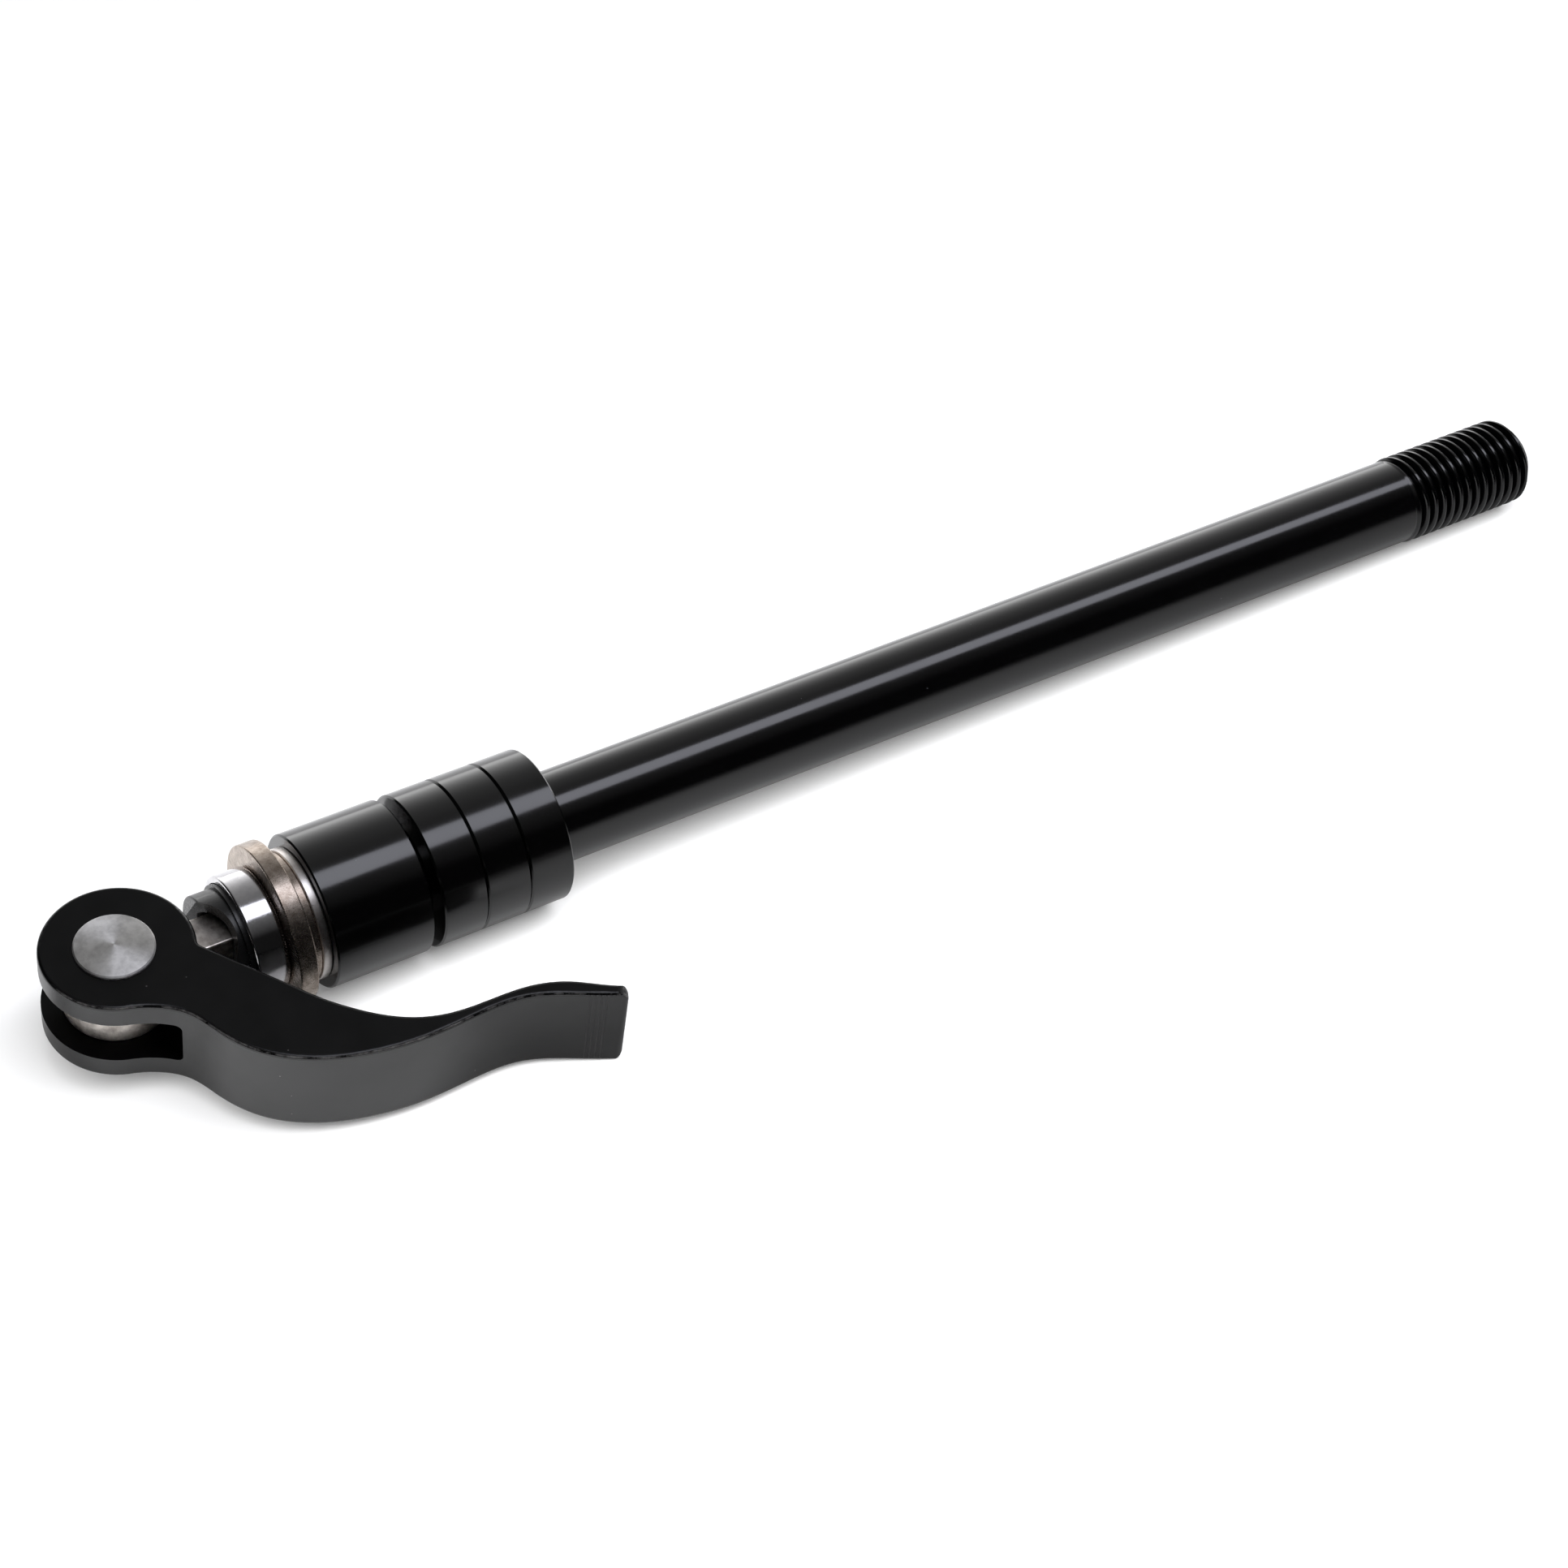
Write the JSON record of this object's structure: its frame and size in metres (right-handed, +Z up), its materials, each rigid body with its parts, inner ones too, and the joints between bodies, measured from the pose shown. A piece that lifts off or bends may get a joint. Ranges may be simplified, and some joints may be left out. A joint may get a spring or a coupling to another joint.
{
  "type": "bicycle thru axle",
  "caption": "Slim threaded wheel axle with a shouldered head, loose spacer rings, washers and a curved cam lever on an eye bolt that clamps a wheel in a frame.",
  "frame": {"origin": "on the axle's axis at the bearing face of the outermost spacer", "axes": "+X along the axle from the lever to the thread, +Z up along the lever's pivot pin"},
  "size_m": [0.2179, 0.0412, 0.0198],
  "materials": {
    "black_anodised": "gloss black anodised",
    "satin_black": "satin black anodised",
    "pin_steel": "brushed",
    "bolt_steel": "satin",
    "polished_steel": "polished",
    "warm_steel": "turned",
    "bright_steel": "turned",
    "black_nylon": "moulded"
  },
  "bodies": {
    "axle": {"axle": "black_anodised", "thin_washer": "bright_steel", "flanged_washer": "warm_steel"},
    "saddle": {"cup_ring": "polished_steel", "cam_saddle": "black_nylon"},
    "bolt": {"eye_bolt": "bolt_steel"},
    "lever": {"lever": "satin_black", "pivot_pin": "pin_steel"},
    "spacer_1": {"spacer_1": "black_anodised"},
    "spacer_2": {"spacer_2": "black_anodised"},
    "spacer_3": {"spacer_3": "black_anodised"}
  },
  "joints": [
    {"name": "tension_turn", "type": "hinge", "parent": "axle", "child": "saddle", "pos_m": [-0.03102, 0, 0], "axis": [1, 0, 0], "range_deg": [-630, 180]},
    {"name": "tension_travel", "type": "slide", "parent": "saddle", "child": "bolt", "axis": [1, 0, 0], "range_m": [-0.00141, 0.00041]},
    {"name": "lever_swing", "type": "hinge", "parent": "bolt", "child": "lever", "pos_m": [-0.05422, 0, 0], "axis": [0, 0, 1], "range_deg": [-238, 0]},
    {"name": "spacer_1_slide", "type": "slide", "parent": "axle", "child": "spacer_1", "axis": [1, 0, 0], "range_m": [-0.0013, 0.04]},
    {"name": "spacer_2_slide", "type": "slide", "parent": "spacer_1", "child": "spacer_2", "axis": [1, 0, 0], "range_m": [0, 0.04]},
    {"name": "spacer_3_slide", "type": "slide", "parent": "spacer_2", "child": "spacer_3", "axis": [1, 0, 0], "range_m": [0, 0.04]}
  ],
  "couplings": [
    {"joint": "tension_travel", "follows": "tension_turn", "m_per_rad": 0.00012732}
  ]
}
